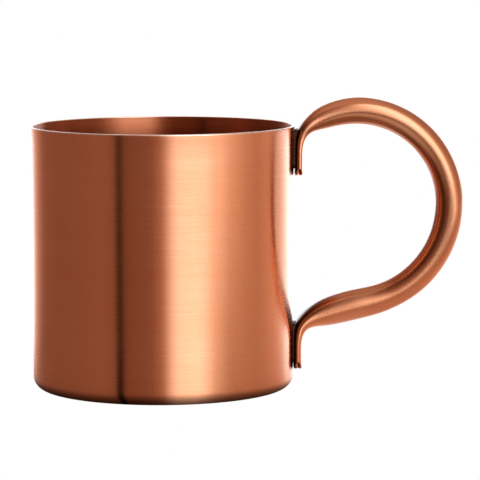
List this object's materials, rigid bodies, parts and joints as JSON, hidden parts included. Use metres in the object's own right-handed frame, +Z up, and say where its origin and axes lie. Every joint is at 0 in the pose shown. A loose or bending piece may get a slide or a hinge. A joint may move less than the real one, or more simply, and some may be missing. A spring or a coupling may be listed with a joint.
{
  "type": "copper mug",
  "caption": "Straight-sided handled mug of brushed copper: round cup with rounded base corner and flared lip, and a hollow round-tube loop handle whose flattened ends are brazed to the wall.",
  "frame": {"origin": "centre of the base ring in the plane the mug stands on, on the cup's axis", "axes": "+Z up along the cup's axis, +X towards the handle, +Y across the handle's plane"},
  "size_m": [0.145, 0.0886, 0.0973],
  "materials": {
    "brushed_copper": "copper, fine brushing round the axis, satin",
    "polished_copper": "copper, polished, faint lengthwise drawing marks",
    "braze_filler": "copper-phosphorus filler, dull"
  },
  "bodies": {
    "root": {"cup": "brushed_copper", "handle_tube": "polished_copper", "upper_braze": "braze_filler", "lower_braze": "braze_filler"}
  },
  "joints": []
}
